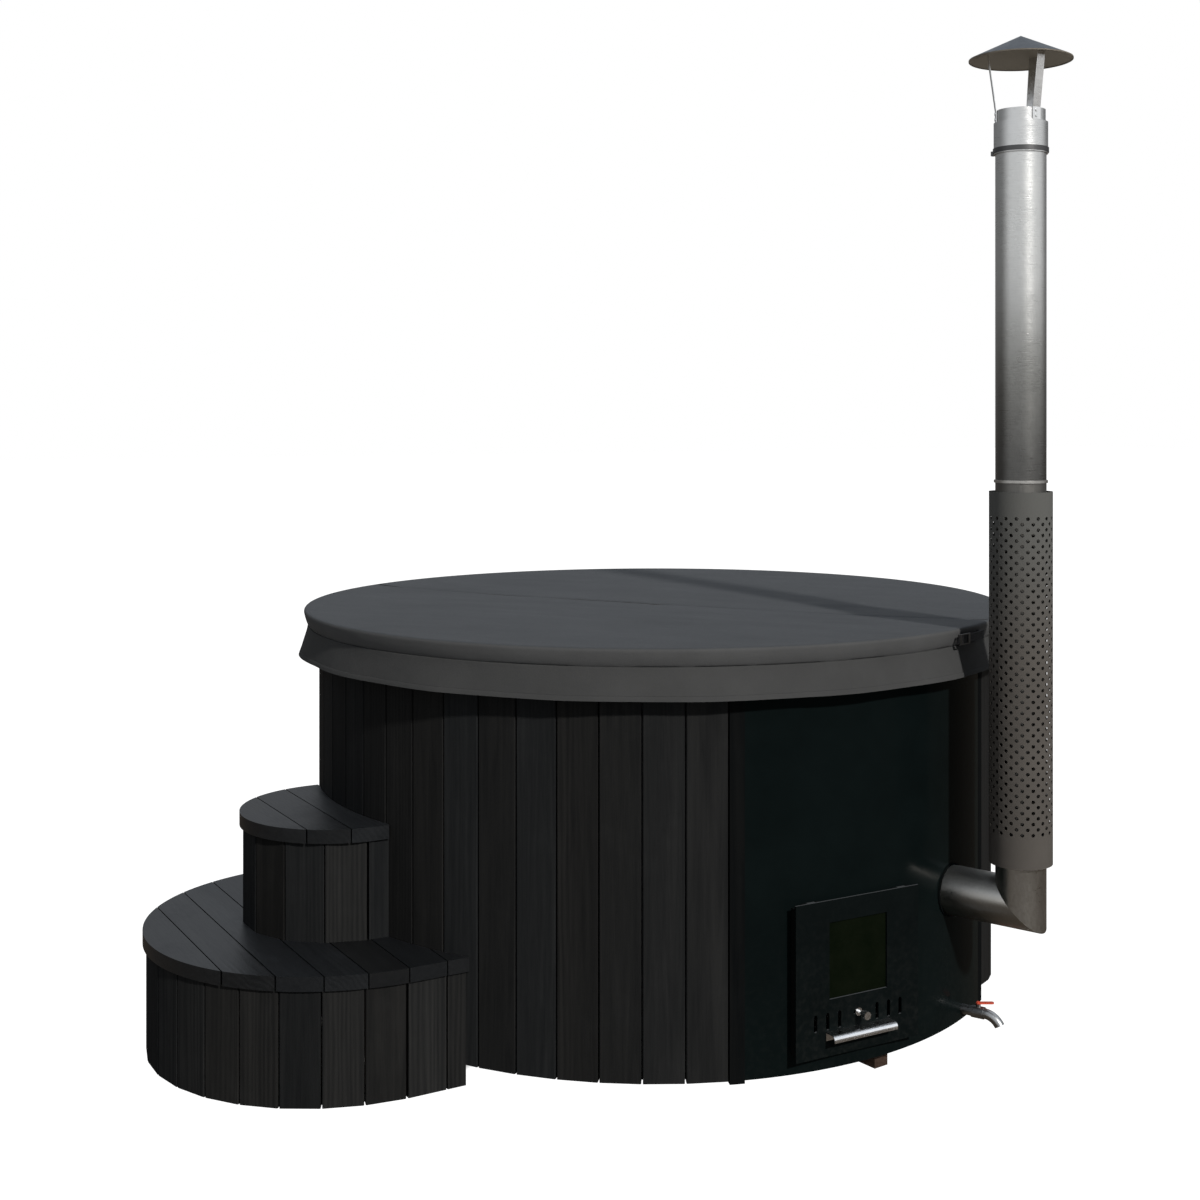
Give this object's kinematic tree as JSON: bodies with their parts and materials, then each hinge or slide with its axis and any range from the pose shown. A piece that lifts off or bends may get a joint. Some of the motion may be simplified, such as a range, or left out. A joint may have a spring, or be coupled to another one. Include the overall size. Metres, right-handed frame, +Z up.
{
  "type": "wood-burning hot tub",
  "caption": "Round black-stained wooden hot tub with a built-in wood stove, an outside chimney, half-round steps and a folding padded cover.",
  "frame": {"origin": "on the floor at the tub's axis, on the underside of the middle floor beam", "axes": "+Z up along the tub's axis; the stove door faces -Y; the chimney stands at -Y, +X and the steps at -X"},
  "size_m": [2.5678, 2.3044, 2.657],
  "materials": {
    "beam_wood": "matte",
    "black_wood": "matte",
    "hidden_wood": "matte",
    "foam": "matte",
    "liner_plastic": "gloss",
    "panel_gloss": "gloss",
    "stove_black": "matte",
    "stainless": "satin",
    "cast_black": "matte",
    "seal_rope": "matte",
    "window_glass": "gloss",
    "shield_grey": "matte",
    "cap_paint": "satin",
    "lever_red": "satin",
    "cover_cloth": "satin",
    "strap_webbing": "matte"
  },
  "bodies": {
    "tub": {"base_beams": "beam_wood", "base_board": "hidden_wood", "floor_insulation": "foam", "wall_boards": "black_wood", "wall_hoops": "stainless", "wall_insulation": "foam", "liner": "liner_plastic", "liner_bench": "liner_plastic", "liner_well": "liner_plastic", "liner_ports": "liner_plastic", "heater_back": "stainless", "bench_supports": "hidden_wood", "front_panel": "panel_gloss", "panel_trims": "black_wood", "heater_jacket": "stainless", "firebox": "stove_black", "fire_grate": "cast_black", "ash_pan": "stainless", "flame_baffle": "cast_black", "smoke_box": "stainless", "water_ports": "stainless", "door_frame": "stove_black", "door_hinge_pins": "stainless", "flue_stub": "stainless", "flue_seal": "seal_rope", "flue_elbow": "stainless", "chimney_lower": "stainless", "chimney_upper": "stainless", "joint_band": "stainless", "heat_shield": "shield_grey", "shield_spacers": "stainless", "cap_collar": "stainless", "collar_clamp": "stainless", "cap_spigot": "stainless", "cap_legs": "stainless", "cap_rivets": "stainless", "cap_cone": "cap_paint", "drain_outlet": "stainless", "drain_pipe": "stainless", "drain_valve": "stainless", "drain_spout": "stainless", "lower_step_boards": "black_wood", "lower_step_treads": "black_wood", "lower_step_frame": "hidden_wood", "upper_step_boards": "black_wood", "upper_step_treads": "black_wood", "upper_step_frame": "hidden_wood"},
    "door": {"door_plate": "stove_black", "door_glass": "window_glass", "glass_clips": "stainless", "door_gasket": "seal_rope", "door_handle": "stainless", "slide_guides": "stainless"},
    "air_control": {"air_slide": "stainless", "air_knob": "stainless"},
    "valve": {"valve_lever": "lever_red"},
    "cover_rear": {"cover_back": "cover_cloth", "cover_back_skirt": "cover_cloth"},
    "cover_fore": {"cover_front": "cover_cloth", "cover_front_skirt": "cover_cloth", "cover_strap": "strap_webbing", "strap_buckle": "stainless"}
  },
  "joints": [
    {"name": "door_swing", "type": "hinge", "parent": "tub", "child": "door", "pos_m": [0, -1.00665, 0.469], "axis": [-1, 0, 0], "range_deg": [0, 85]},
    {"name": "air_slide_travel", "type": "slide", "parent": "door", "child": "air_control", "axis": [1, 0, 0], "range_m": [-0.01, 0.01]},
    {"name": "valve_turn", "type": "hinge", "parent": "tub", "child": "valve", "pos_m": [0.45569, -0.94263, 0.1], "axis": [0, 0, 1], "range_deg": [-34.2, 55.8]},
    {"name": "cover_lift", "type": "slide", "parent": "tub", "child": "cover_rear", "axis": [0, 0, 1], "range_m": [0, 0.35]},
    {"name": "cover_fold", "type": "hinge", "parent": "cover_rear", "child": "cover_fore", "pos_m": [0, 0, 1.1155], "axis": [-0.5402, 0.8415, 0], "range_deg": [0, 170]}
  ]
}
